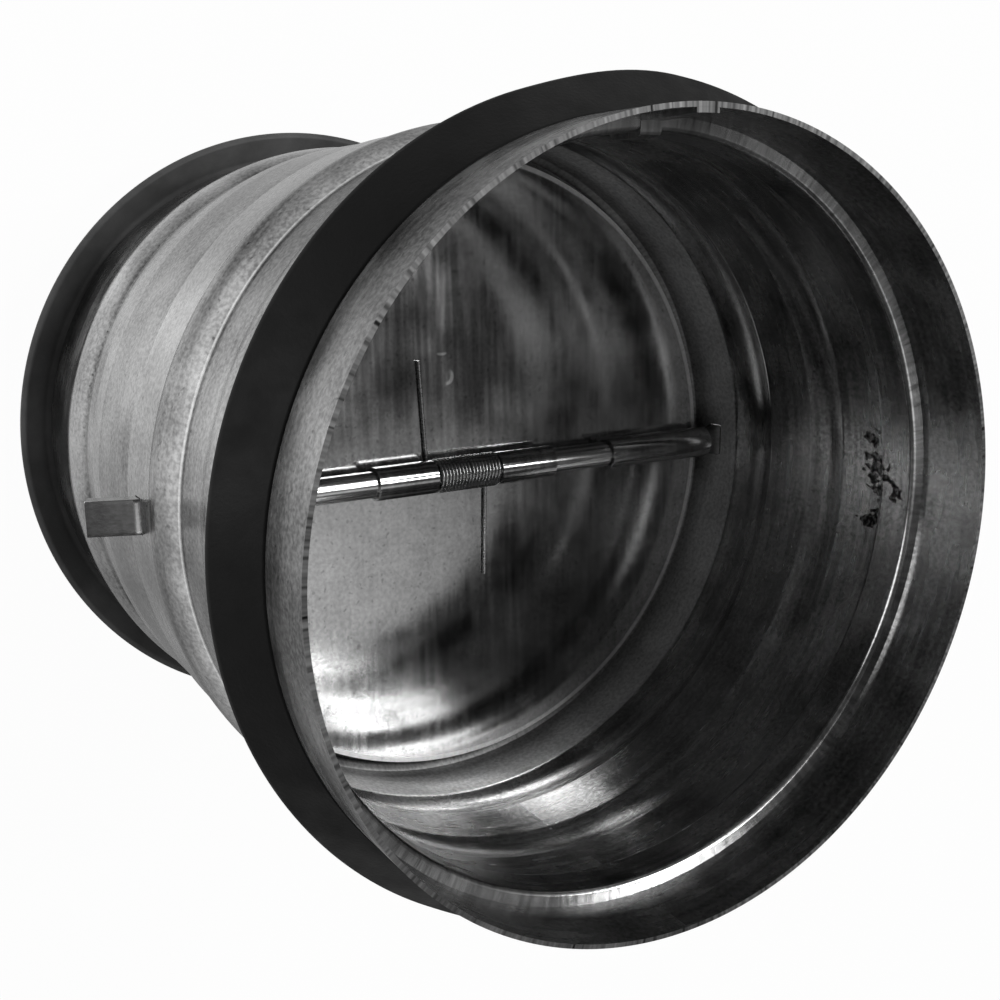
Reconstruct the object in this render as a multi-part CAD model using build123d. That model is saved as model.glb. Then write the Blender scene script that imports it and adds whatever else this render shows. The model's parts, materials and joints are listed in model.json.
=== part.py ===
from build123d import *
from math import atan2, degrees, tan
import os

# Backdraft damper for a 100 mm round duct: a casing rolled from galvanised sheet, a rubber lip seal near
# each end, and two half-round blades on one hinge pin that a torsion spring holds shut across the bore.
# Millimetres. The origin is the centre of the inlet rim, +Z runs with the air flow, +X along the pin.

# Casing
casing_length = 132.0
collar_radius = 49.5
sheet = 0.6
lap_width = 3.2

# Casing outline, met in this order from either rim: collar, seal seat, plain wall
collar_length = 10.0
seat_depth = 1.8
seat_floor = 4.6
seat_front = 0.3
seat_back = 1.0

# Casing outline between the plain walls, met in this order from the outlet
wall_rise = 0.1
outlet_wall = 8.2
low_rib_length = 6.6
low_rib_rise = 0.4
rib_wall = 8.4
bead_rise = 1.8
bead_length = 9.5
band_rise = 1.3
band_length = 10.6
ledge_drop = 0.9
ledge_length = 1.0
waist_slope = 6.0
waist_rise = 0.5
waist_length = 15.0
groove_drop = 0.9
groove_slope = 0.9
groove_length = 7.0
inlet_bead_rise = 1.4
inlet_bead_length = 11.5

# Lip seals
seal_fit = 0.05
seal_lip_height = 5.5
seal_lip_reach = 6.4
seal_lip_thickness = 1.7
seal_tip_round = 0.25

# Hinge pin with flattened ends through the casing
pin_radius = 2.0
pin_past_blades = 0.3
spade_width = 5.0
spade_thickness = 2.2
spade_reach = 6.8
spade_bend = 22.0
slot_clearance = 0.12
pin_end_gap = 0.3

# Blades
blade_gap = 2.4
blade_sheet = 0.5
blade_edge_gap = 0.7
knuckle_clearance = 0.05
inner_knuckle_length = 10.0
outer_knuckle_length = 20.3
knuckle_inset = 0.8
roll_opening = 24.0
joggle = 2.8

# Torsion spring
wire = 0.56
coil_turns = 18
coil_pitch = 0.58
coil_clearance = 0.1
coil_side_gap = 0.1
leg_length = 17.5
leg_gap = 0.1

# Stop strap behind the blades
strap_width = 12.0
strap_thickness = 1.0
strap_foot = 9.0
strap_clearance = 0.15
stop_gap = 0.1

# Derived places, measured down from the outlet rim
seat_start = collar_length
seat_end = seat_start + seat_front + seat_floor + seat_back
rib_start = seat_end + outlet_wall
rib_end = rib_start + low_rib_length
bead_start = rib_end + rib_wall
band_start = bead_start + bead_length
band_end = band_start + band_length
waist_start = band_end + ledge_length
groove_start = waist_start + waist_slope + waist_length
groove_floor = groove_start + groove_slope
inlet_bead_start = groove_floor + groove_length
inlet_bead_end = inlet_bead_start + inlet_bead_length

# Derived radii
wall_radius = collar_radius + wall_rise
seat_radius = collar_radius - seat_depth
band_radius = wall_radius + band_rise
ledge_radius = band_radius - ledge_drop
waist_radius = ledge_radius + waist_rise
groove_radius = waist_radius - groove_drop
band_bore = band_radius - sheet
ledge_bore = ledge_radius - sheet

# Derived hinge sizes
pin_height = casing_length - (band_start + band_end) / 2
knuckle_bore = pin_radius + knuckle_clearance
knuckle_radius = knuckle_bore + blade_sheet
coil_radius = pin_radius + coil_clearance + wire / 2
coil_half = coil_turns * coil_pitch / 2
blade_face = coil_radius + wire / 2 + leg_gap
blade_back = blade_face + blade_sheet
blade_radius = band_bore - blade_gap
inner_knuckle_start = coil_half + wire / 2 + coil_side_gap
outer_knuckle_end = blade_radius - knuckle_inset
outer_knuckle_start = outer_knuckle_end - outer_knuckle_length
strap_face = blade_back + stop_gap
strap_back = strap_face + strap_thickness
foot_radius = ledge_bore - strap_clearance


def mitre(drop, run, depth):
    """Axial shift that keeps a sloping wall the given depth thick."""
    return depth * tan(atan2(drop, run) / 2)


def outline(depth):
    """The casing wall's line this deep below its outer face, from the outlet rim to the inlet rim."""
    def at(radius, from_outlet):
        return (radius - depth, 0, casing_length - from_outlet)

    front = mitre(seat_depth, seat_front, depth)
    back = mitre(seat_depth + wall_rise, seat_back, depth)
    ledge = mitre(ledge_drop, ledge_length, depth)
    groove = mitre(groove_drop, groove_slope, depth)
    inlet_wall_end = casing_length - seat_end - back
    inlet_floor = casing_length - seat_start - seat_front
    bead_crest = at(wall_radius + bead_rise, bead_start + bead_length / 2)
    rib_crest = at(wall_radius + low_rib_rise, (rib_start + rib_end) / 2)
    inlet_crest = at(groove_radius + inlet_bead_rise, (inlet_bead_start + inlet_bead_end) / 2)
    outlet_end = Polyline(at(collar_radius, 0),
                          at(collar_radius, seat_start - front),
                          at(seat_radius, seat_start + seat_front - front),
                          at(seat_radius, seat_end - seat_back + back),
                          at(wall_radius, seat_end + back),
                          at(wall_radius, rib_start))
    rib = ThreePointArc(at(wall_radius, rib_start), rib_crest, at(wall_radius, rib_end))
    wall = Line(at(wall_radius, rib_end), at(wall_radius, bead_start))
    bead = ThreePointArc(at(wall_radius, bead_start), bead_crest, at(band_radius, band_start))
    middle = Polyline(at(band_radius, band_start),
                      at(band_radius, band_end - ledge),
                      at(ledge_radius, waist_start - ledge),
                      at(waist_radius, waist_start + waist_slope),
                      at(waist_radius, groove_start - groove),
                      at(groove_radius, groove_floor - groove),
                      at(groove_radius, inlet_bead_start))
    inlet_bead = ThreePointArc(at(groove_radius, inlet_bead_start),
                               inlet_crest,
                               at(wall_radius, inlet_bead_end))
    inlet_end = Polyline(at(wall_radius, inlet_bead_end),
                         at(wall_radius, inlet_wall_end),
                         at(seat_radius, inlet_wall_end + seat_back),
                         at(seat_radius, inlet_floor + front),
                         at(collar_radius, inlet_floor + seat_front + front),
                         at(collar_radius, casing_length))
    return Curve() + [outlet_end, rib, wall, bead, middle, inlet_bead, inlet_end]


def wall_section(thickness):
    """Section of the casing wall in the XZ plane, the outline thickened towards the axis."""
    outer = outline(0)
    inner = outline(thickness)
    inner_radius = collar_radius - thickness
    outlet_rim = Line((collar_radius, 0, casing_length), (inner_radius, 0, casing_length))
    inlet_rim = Line((collar_radius, 0, 0), (inner_radius, 0, 0))
    return make_face(outer + inner + [outlet_rim, inlet_rim])


def casing():
    """Rolled sheet tube with beads and seal seats, lapped at the top and slotted for the pin's ends."""
    lap_angle = degrees(lap_width / collar_radius)
    single = revolve(wall_section(sheet), Axis.Z, 360 - lap_angle)
    lap = revolve(wall_section(2 * sheet), Axis.Z, lap_angle)
    tube = Rot(0, 0, 90 + lap_angle / 2) * single + Rot(0, 0, 90 - lap_angle / 2) * lap
    slot_length = 2 * band_radius + 2 * sheet
    slot_width = spade_width + 2 * slot_clearance
    slot_height = spade_thickness + 2 * slot_clearance
    return tube - Pos(0, 0, pin_height) * Box(slot_length, slot_width, slot_height)


def seal():
    """Rubber ring seated in the inlet end's groove, with a lip that flares outward away from the rim."""
    inner = seat_radius + seal_fit
    front = seat_start + seat_front + seal_fit
    back = seat_start + seat_front + seat_floor - seal_fit
    tip_radius = collar_radius + seal_lip_height
    tip = front + seal_lip_reach
    root = collar_radius + seal_lip_thickness / 2
    section = Polyline((inner, 0, front),
                       (collar_radius, 0, front),
                       (tip_radius, 0, tip - seal_lip_thickness / 2),
                       (tip_radius, 0, tip),
                       (tip_radius - seal_lip_thickness / 2, 0, tip + seal_lip_thickness / 3),
                       (root, 0, back),
                       (inner, 0, back),
                       close=True)
    ring = revolve(make_face(section), Axis.Z, 360)
    tip_edges = ring.edges().filter_by(GeomType.CIRCLE).group_by(SortBy.RADIUS)[-1]
    return fillet(tip_edges, seal_tip_round)


def outlet_seal():
    """The inlet end's seal turned over for the outlet end."""
    return Pos(0, 0, casing_length) * Rot(180, 0, 0) * seal()


def hinge_pin():
    """Round pin; its flattened ends pass through the casing and are bent back a little to the inlet."""
    round_half = outer_knuckle_end + pin_past_blades
    rod = Rot(0, 90, 0) * Cylinder(pin_radius, 2 * round_half)
    half = spade_thickness / 2
    wall_outside = band_radius + half
    reach = spade_reach - half
    flat = Pos((band_bore - pin_end_gap + wall_outside) / 2, 0, 0)
    straight = flat * Box(wall_outside - band_bore + pin_end_gap, spade_width, spade_thickness)
    elbow = Pos(wall_outside, 0, 0) * Rot(90, 0, 0) * Cylinder(half, spade_width)
    bent = Pos(wall_outside, 0, 0) * Rot(0, spade_bend, 0) * Pos(reach / 2, 0, 0)
    spade = straight + elbow + bent * Box(reach, spade_width, spade_thickness)
    round_end = Plane((round_half, 0, 0), z_dir=(1, 0, 0)) * Circle(pin_radius)
    flat_start = Plane((band_bore - pin_end_gap, 0, 0), x_dir=(0, 1, 0), z_dir=(1, 0, 0))
    flat_end = flat_start * Rectangle(spade_width, spade_thickness)
    end = spade + loft([round_end, flat_end])
    return Pos(0, 0, pin_height) * (rod + end + mirror(end, Plane.YZ))


def knuckle(start, finish):
    """Blade sheet rolled round the pin between two places along it, with the step to the blade's plane."""
    ring = Circle(knuckle_radius) - Circle(knuckle_bore)
    gap = Rot(0, 0, -90 + roll_opening) * Pos(knuckle_radius / 2, 0) * Rectangle(knuckle_radius, blade_sheet)
    neck = make_face(Polyline((0, -knuckle_bore), (0, -knuckle_radius), (joggle, -blade_back),
                              (joggle, -blade_face), close=True))
    section = ring - gap + neck
    along_pin = Plane((start, 0, 0), x_dir=(0, 1, 0), z_dir=(1, 0, 0))
    return extrude(along_pin * section, finish - start)


def upper_blade():
    """Half-round blade with an inner and an outer knuckle, its plane behind the pin, clear of the coil."""
    knuckles = [(-inner_knuckle_start - inner_knuckle_length, -inner_knuckle_start),
                (outer_knuckle_start, outer_knuckle_end)]
    edge = blade_edge_gap / 2
    above = Pos(0, edge + blade_radius, 0) * Rectangle(2 * blade_radius, 2 * blade_radius)
    half_disc = Circle(blade_radius) & above
    for start, finish in knuckles:
        half_disc -= Pos((start + finish) / 2, joggle / 2, 0) * Rectangle(finish - start, joggle)
    plate = Pos(0, 0, -blade_back) * extrude(half_disc, blade_sheet)
    for start, finish in knuckles:
        plate += knuckle(start, finish)
    return Pos(0, 0, pin_height) * plate


def lower_blade():
    """The same pressing as the upper blade, turned half round the duct's axis."""
    return Rot(0, 0, 180) * upper_blade()


def torsion_spring():
    """Close-wound left-hand coil on the pin; its ends run straight out over the front face of each blade."""
    start = Plane((-coil_half, 0, 0), x_dir=(0, 0, -1), z_dir=(1, 0, 0))
    path = start * Helix(coil_pitch, 2 * coil_half, coil_radius)
    section = Plane(path @ 0, z_dir=path % 0) * Circle(wire / 2)
    coil = sweep(section, path=path, is_frenet=True)
    spring = coil + leg(path @ 0, -(path % 0)) + leg(path @ 1, path % 1)
    return Pos(0, 0, pin_height) * mirror(spring, Plane.XZ)


def leg(root, direction):
    """Straight end of the spring wire, running on from the coil."""
    straight = Cylinder(wire / 2, leg_length, align=(Align.CENTER, Align.CENTER, Align.MIN))
    return Plane(root, z_dir=direction) * straight


def stop_strap():
    """Flat strap across the bore behind the blades, its two feet bent along the casing wall."""
    bar = Pos(0, 0, -strap_back) * extrude(Rectangle(2 * foot_radius, strap_width), strap_thickness)
    foot_height = strap_foot + strap_thickness
    below = Pos(0, 0, -strap_face - foot_height / 2)
    ring = Cylinder(foot_radius, foot_height) - Cylinder(foot_radius - strap_thickness, foot_height)
    feet = below * (ring & Box(2 * foot_radius, strap_width, foot_height))
    round_bar = bar & below * Cylinder(foot_radius, foot_height)
    return Pos(0, 0, pin_height) * (round_bar + feet)


def main():
    os.makedirs("parts", exist_ok=True)
    pieces = {
        "casing": casing(),
        "inlet_seal": seal(),
        "outlet_seal": outlet_seal(),
        "hinge_pin": hinge_pin(),
        "upper_blade": upper_blade(),
        "lower_blade": lower_blade(),
        "torsion_spring": torsion_spring(),
        "stop_strap": stop_strap(),
    }
    for node, shape in pieces.items():
        export_step(shape, f"parts/{node}.step")


if __name__ == "__main__":
    main()
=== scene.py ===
import json
from math import atan2, cos, pi, radians, sin, sqrt

import bmesh
import bpy
from bpy.props import FloatProperty, FloatVectorProperty, IntProperty, PointerProperty
from mathutils import Matrix, Vector


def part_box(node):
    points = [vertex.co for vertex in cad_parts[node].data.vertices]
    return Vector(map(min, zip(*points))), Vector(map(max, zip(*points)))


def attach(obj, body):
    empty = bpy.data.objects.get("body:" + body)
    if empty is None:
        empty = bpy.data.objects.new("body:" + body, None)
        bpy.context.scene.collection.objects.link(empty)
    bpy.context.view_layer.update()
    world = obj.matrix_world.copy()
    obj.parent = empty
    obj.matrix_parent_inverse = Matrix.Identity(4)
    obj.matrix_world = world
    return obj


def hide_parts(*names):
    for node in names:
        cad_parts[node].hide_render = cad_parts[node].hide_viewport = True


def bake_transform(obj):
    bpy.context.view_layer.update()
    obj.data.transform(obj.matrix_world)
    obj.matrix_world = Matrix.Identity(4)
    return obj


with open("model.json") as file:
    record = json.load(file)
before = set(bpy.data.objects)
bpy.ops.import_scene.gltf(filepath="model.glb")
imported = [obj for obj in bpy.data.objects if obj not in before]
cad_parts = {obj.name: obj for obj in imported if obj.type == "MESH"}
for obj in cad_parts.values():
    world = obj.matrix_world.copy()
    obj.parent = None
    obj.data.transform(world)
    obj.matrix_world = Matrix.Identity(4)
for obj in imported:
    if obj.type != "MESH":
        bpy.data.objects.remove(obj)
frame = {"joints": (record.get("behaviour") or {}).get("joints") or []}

bl_info = {
    "name": "Backdraft Damper",
    "version": (1, 0, 0),
    "blender": (4, 5, 0),
    "location": "View3D > Sidebar > Damper",
    "description": "Dresses a round backdraft damper: casing, lip seals, pin, blades, spring and stage",
    "category": "Object",
}

MM = 0.001
# How far the unrolled inner faces lie from the outer ones along V, in metres
INSIDE = 0.2
OUTSIDE_FACE, BORE_FACE, RIM_FACE = range(3)
WIRE_SIDES = 10
STEPS_PER_TURN = 28
BEND_STEPS = 5
# Painted light and shade on the casing's outside, as bands darker or lighter than the sheet: start and end
# in millimetres from the outlet, change of tone
LIGHT_AND_SHADE_BANDS = ((37.9, 38.8, -0.5), (43.5, 48.4, -0.25), (49.0, 59.0, 0.3), (67.0, 77.0, -0.12),
         (77.0, 81.0, 0.25), (88.2, 89.6, -0.35), (90.0, 96.0, 0.25))
# Dull wall round the blades, lightened with painted light: start and end in millimetres from the outlet
BLADE_WALL = (48.8, 60.4)
# Smudges in the bore: millimetres from the outlet, degrees above the pin, size in millimetres
SMUDGES = ((18.5, 6, 2.0), (17.0, 1, 3.2), (16.8, -2, 2.6), (17.9, -8, 2.2), (12.2, -2, 1.6))
# Curved scratches in millimetres: centre, radius, then the middle and reach of the part that shows
SCRATCHES = ((-1.4, 14.7, 3.4, 1.0, 13.7, 3.0), (-2.0, 19.7, 3.6, -2.0, 17.1, 1.8),
             (8.0, 7.5, 3.0, 6.1, 9.4, 1.5))
# Studio lamps: place and size in metres, brightness
LAMPS = {
    "lamp_spot": ((0.41, 0.17, 0.86), (0.30, 0.07), 28),
    "lamp_top": ((0.44, 0.50, 0.80), (0.28, 0.20), 16),
    "lamp_left": ((-0.75, 0.25, 0.30), (0.5, 0.5), 3),
    "lamp_eye": ((-0.45, -0.12, 0.90), (0.16, 0.16), 0.35),
}
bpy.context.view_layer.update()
PIN = Vector(frame["joints"][0]["pos_m"])
HOUSING = "housing"
LEAVES = {"upper_blade": "upper_leaf", "lower_blade": "lower_leaf"}
CASING_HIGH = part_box("casing")[1]
SEAL_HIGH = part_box("inlet_seal")[1]
PIN_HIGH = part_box("hinge_pin")[1]
BLADE_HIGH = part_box("upper_blade")[1]
STRAP_LOW, STRAP_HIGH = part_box("stop_strap")


def length(name, description, millimetres):
    """A length that a user may change, given here in millimetres and kept in metres."""
    return FloatProperty(name=name, description=description, default=millimetres * MM, unit="LENGTH",
                         precision=5)


def place(name, description, metres):
    """A length read from the frame."""
    return FloatProperty(name=name, description=description, default=metres, unit="LENGTH",
                         precision=5)


def turn(name, description, degrees_of_turn):
    """An angle, given here in degrees and kept in radians."""
    return FloatProperty(name=name, description=description, default=radians(degrees_of_turn),
                         unit="ROTATION")


def grey(name, description, value):
    """A neutral colour of one brightness."""
    return FloatVectorProperty(name=name, description=description, default=(value,) * 3, subtype="COLOR",
                               size=3)


def share(name, description, value):
    """A plain number between nothing and all."""
    return FloatProperty(name=name, description=description, default=value, subtype="FACTOR", min=0,
                         max=1)


class CasingSizes(bpy.types.PropertyGroup):
    length: place("Length", "Casing from rim to rim", CASING_HIGH.z)
    collar_radius: length("Collar radius", "Outside of the collars", 49.5)
    sheet: length("Sheet", "Thickness of the casing's sheet", 0.6)
    lap_width: length("Lap", "Width of the overlap along the seam", 3.2)
    collar: length("Collar", "Length of each collar", 10.0)
    seat_depth: length("Seat depth", "How far the seal's seat lies below the collar", 1.8)
    seat_floor: length("Seat floor", "Flat of the seal's seat", 4.6)
    seat_front: length("Seat front", "Slope between collar and seat", 0.3)
    seat_back: length("Seat back", "Slope between seat and wall", 1.0)
    wall_rise: length("Wall rise", "Plain wall above the collar", 0.1)
    outlet_wall: length("Outlet wall", "Plain wall behind the outlet's seat", 8.2)
    rib_length: length("Rib", "Length of the low rib", 6.6)
    rib_rise: length("Rib rise", "Height of the low rib", 0.4)
    rib_wall: length("Wall after rib", "Plain wall between rib and bead", 8.4)
    bead_rise: length("Bead rise", "Height of the outlet's bead", 1.8)
    bead_length: length("Bead", "Length of the outlet's bead", 9.5)
    band_rise: length("Band rise", "Height of the raised band at the pin", 1.3)
    band_length: length("Band", "Length of the raised band", 10.6)
    ledge_drop: length("Ledge drop", "Step from the band down to the waist", 0.9)
    ledge_length: length("Ledge", "Length of that step", 1.0)
    waist_slope: length("Waist slope", "Start of the waist, widening", 6.0)
    waist_rise: length("Waist rise", "How far the waist widens", 0.5)
    waist_length: length("Waist", "Flat of the waist", 15.0)
    groove_drop: length("Groove drop", "Step from the waist down to the groove", 0.9)
    groove_slope: length("Groove slope", "Length of that step", 0.9)
    groove_length: length("Groove", "Flat of the groove", 7.0)
    inlet_bead_rise: length("Inlet bead rise", "Height of the inlet's bead", 1.4)
    inlet_bead_length: length("Inlet bead", "Length of the inlet's bead", 11.5)
    crease: length("Crease", "Radius of the folds in the sheet", 0.22)
    slot_width: length("Slot width", "Slot for the pin's end, round the casing", 5.24)
    slot_height: length("Slot height", "The same slot along the casing", 2.44)
    steps: IntProperty(name="Steps", description="Faces round the casing", default=240, min=48)


class SealSizes(bpy.types.PropertyGroup):
    fit: length("Fit", "Room between rubber and seat", 0.05)
    lip_height: length("Lip height", "Lip above the collar", 5.5)
    lip_reach: length("Lip reach", "Lip along the duct", 6.4)
    lip_thickness: length("Lip thickness", "Rubber at the lip", 1.7)
    edge: length("Edge", "Rounding of the rubber's edges", 0.3)
    squeeze: length("Squeeze", "How far the outlet's lip is pressed in along its bent side", 1.2)
    squeeze_from: turn("Squeeze from", "Start of that side, from the pin's +X end", 80)
    squeeze_to: turn("Squeeze to", "End of that side", 262)
    squeeze_ramp: turn("Squeeze ramp", "Angle over which the lip bends in", 24)
    bulge: share("Bulge", "Swelling just before that side, as a share of the squeeze", 0.6)
    steps: IntProperty(name="Steps", description="Faces round the seal", default=240, min=48)


class HingeSizes(bpy.types.PropertyGroup):
    pin_radius: length("Pin radius", "Round part of the hinge pin", 2.0)
    spade_width: length("Spade width", "Flattened end of the pin, across", 5.0)
    spade_thickness: length("Spade thickness", "Flattened end of the pin, through", 2.2)
    spade_bend: turn("Spade bend", "How far the flattened end is bent to the inlet", 22)
    wall_radius: length("Wall radius", "Outside of the casing at the pin", 50.9)
    flat_start: length("Flat start", "Where the pin is fully flattened", 49.6)
    elbow_inset: length("Elbow inset", "Start of the bend inside the casing's outer face", 0.3)
    pin_edge: length("Pin edge", "Rounding of the pin's flattened ends", 0.12)
    round_end: length("Round end", "Where the pin starts to flatten", 47.4)
    sheet: length("Blade sheet", "Thickness of the blades", 0.5)
    clearance: length("Clearance", "Room between pin and knuckle", 0.05)
    blade_face: length("Blade face", "Blade's front face behind the pin's axis", 2.76)
    edge_gap: length("Edge gap", "Gap between the two blades' straight edges", 0.7)
    joggle: length("Joggle", "Length of the step from knuckle to blade", 2.8)
    inner_start: length("Inner knuckle start", "Along the pin from its middle", 5.6)
    inner_length: length("Inner knuckle", "Length of the inner knuckle", 10.0)
    outer_start: length("Outer knuckle start", "Along the pin from its middle", 26.8)
    outer_length: length("Outer knuckle", "Length of the outer knuckle", 20.3)
    blade_edge: length("Blade edge", "Rounding of the blades' cut edges", 0.08)
    roll_opening: turn("Roll opening", "Gap where the rolled sheet ends", 24)


class SpringSizes(bpy.types.PropertyGroup):
    wire: length("Wire", "Diameter of the spring wire", 0.56)
    coil_radius: length("Coil radius", "Middle of the wire", 2.38)
    pitch: length("Pitch", "From turn to turn", 0.58)
    half_turns: IntProperty(name="Half the turns", description="Turns on each side of the middle",
                            default=9, min=1)
    leg: length("Leg", "Straight end on each blade", 17.5)
    upper_lean: turn("Upper lean", "Lean of the upper blade's leg along the pin", -3.5)
    lower_lean: turn("Lower lean", "Lean of the lower blade's leg along the pin", -1.6)


class StrapSizes(bpy.types.PropertyGroup):
    thickness: length("Thickness", "Stop strap's sheet", 1.0)
    edge: length("Edge", "Rounding of the strap's edges", 0.12)
    bend: length("Bend", "Inner radius where a foot turns down", 0.6)
    foot_radius: place("Foot radius", "Outside of the feet", STRAP_HIGH.x)


class Finishes(bpy.types.PropertyGroup):
    zinc: grey("Zinc", "Galvanised sheet", 0.42)
    blade_zinc: grey("Blade zinc", "Blades' galvanised sheet", 0.38)
    # The strap's dark grey is painted shade: it lies in the shadow behind the blades
    strap: grey("Strap zinc", "Stop strap, dulled behind the blades", 0.2)
    steel: grey("Pin steel", "Hinge pin", 0.50)
    wire: grey("Wire steel", "Torsion spring", 0.30)
    rubber: grey("Rubber", "Lip seals", 0.02)
    zinc_roughness: share("Zinc roughness", "Casing's gloss", 0.25)
    steel_roughness: share("Pin roughness", "Hinge pin's gloss", 0.2)
    wire_roughness: share("Wire roughness", "Spring's gloss", 0.28)
    blade_roughness: share("Blade roughness", "Blades' gloss", 0.14)


class StageSettings(bpy.types.PropertyGroup):
    camera_place: FloatVectorProperty(name="Camera", description="Camera's place",
                                      default=(-0.0918, 0.0371, 0.2378), subtype="TRANSLATION",
                                      unit="LENGTH", size=3)
    camera_right: FloatVectorProperty(name="Right", description="Image's right, in the frame",
                                      default=(0.8822, -0.0253, 0.4702), subtype="DIRECTION", size=3)
    camera_back: FloatVectorProperty(name="Back", description="From the object to the camera",
                                     default=(-0.4541, 0.2188, 0.8637), subtype="DIRECTION", size=3)
    lens: FloatProperty(name="Lens", description="Focal length in millimetres", default=43.81)
    shift_x: FloatProperty(name="Shift", description="Sideways shift of the image", default=0.08)
    floor_size: FloatProperty(name="Floor", description="Half the floor's side", default=2.0, unit="LENGTH")
    card_place: FloatVectorProperty(name="Card", description="Middle of the reflector card over the outlet",
                                    default=(0.15, -0.285, 0.92), subtype="TRANSLATION",
                                    unit="LENGTH", size=3)
    card_half: FloatProperty(name="Card half", description="Half the card's width", default=0.5,
                             unit="LENGTH")
    card_depth: share("Card depth", "The card's depth as a share of its width", 0.27)
    world_level: share("World", "Brightness of the room", 0.065)


def settings():
    """The damper's settings on the scene."""
    return bpy.context.scene.damper


# Mesh helpers

def finish_piece(bm, name, materials, body, nodes, sharp):
    """Turns a bmesh into a piece that stands for CAD nodes, rides on a body and shows its materials."""
    mesh = bpy.data.meshes.new(name)
    bm.to_mesh(mesh)
    bm.free()
    mesh.shade_smooth()
    mesh.set_sharp_from_angle(angle=radians(sharp))
    for material in materials:
        mesh.materials.append(material)
    piece = bpy.data.objects.new(name, mesh)
    bpy.context.scene.collection.objects.link(piece)
    even = piece.modifiers.new("flat faces keep their normals", "WEIGHTED_NORMAL")
    even.keep_sharp = True
    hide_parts(*nodes)
    if body:
        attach(piece, body)
    return piece


def verts_of(geom):
    """The vertices among the results of an operator."""
    return [g for g in geom if isinstance(g, bmesh.types.BMVert)]


def edges_of(geom):
    """The edges among the results of an operator."""
    return [g for g in geom if isinstance(g, bmesh.types.BMEdge)]


def wire_line(bm, points, closed=False):
    """Vertices and edges along points."""
    verts = [bm.verts.new(point) for point in points]
    ends = verts[1:] + verts[:1] if closed else verts[1:]
    edges = [bm.edges.new(pair) for pair in zip(verts, ends)]
    return verts, edges


def round_corners(bm, verts, radius):
    """Rounds the chosen corners of a line of edges."""
    bmesh.ops.bevel(bm, geom=verts, offset=radius, offset_type="OFFSET", segments=3, profile=0.5,
                    affect="VERTICES", material=-1, clamp_overlap=True)


def soften_edges(bm, radius):
    """Bevels the sharp edges of a closed shell."""
    edges = [e for e in bm.edges if e.is_manifold and e.calc_face_angle(0) > radians(60)]
    bmesh.ops.bevel(bm, geom=edges, offset=radius, offset_type="OFFSET", segments=2, profile=0.5,
                    affect="EDGES", material=-1, clamp_overlap=True)


def face_away(bm, centre_of):
    """Turns an open surface so that its faces point away from the centre that belongs to each."""
    bmesh.ops.recalc_face_normals(bm, faces=bm.faces)
    pointing = sum(f.normal.dot(f.calc_center_median() - centre_of(f)) for f in bm.faces)
    if pointing < 0:
        bmesh.ops.reverse_faces(bm, faces=bm.faces)


def thicken(bm, thickness):
    """Gives an open surface its thickness, on the side that its normals point away from."""
    bmesh.ops.solidify(bm, geom=bm.faces[:], thickness=thickness)
    bmesh.ops.recalc_face_normals(bm, faces=bm.faces)


def mirror_over(bm):
    """Adds the mirror image on the other side of the duct's middle and welds the two halves."""
    bmesh.ops.mirror(bm, geom=bm.verts[:] + bm.edges[:] + bm.faces[:], axis="X", merge_dist=MM / 1000)
    bmesh.ops.remove_doubles(bm, verts=bm.verts, dist=MM / 1000)
    bmesh.ops.recalc_face_normals(bm, faces=bm.faces)


def on_axis(face):
    """Point of the duct's axis level with a face."""
    return Vector((0, 0, face.calc_center_median().z))


def wrap_uv(bm, radius):
    """Unrolls the sheet, U round the duct from the seam and V along it in metres, and sorts its faces."""
    layer = bm.loops.layers.uv.new("sheet")
    half = CASING_HIGH.z / 2
    for face in bm.faces:
        middle = face.calc_center_median()
        centre = atan2(middle.x, middle.y)
        at_rim = abs(face.normal.z) > 0.9 and abs(middle.z - half) > half - MM
        inside = not at_rim and face.normal.x * middle.x + face.normal.y * middle.y < 0
        for loop in face.loops:
            x, y, z = loop.vert.co
            step = (atan2(x, y) - centre + pi) % (2 * pi) - pi
            loop[layer].uv = ((centre + step) * radius, z + (INSIDE if inside else 0))
        face.material_index = OUTSIDE_FACE
        if at_rim:
            face.material_index = RIM_FACE
        elif inside:
            face.material_index = BORE_FACE


# Outlines

def arch(start, end, first, last, crest, count=9):
    """Points of a bead between two places, as (radius, from outlet)."""
    rise = crest - (first + last) / 2
    points = []
    for i in range(1, count):
        t = i / count
        points.append((first + (last - first) * t + 4 * rise * t * (1 - t), start + (end - start) * t))
    return points


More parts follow.
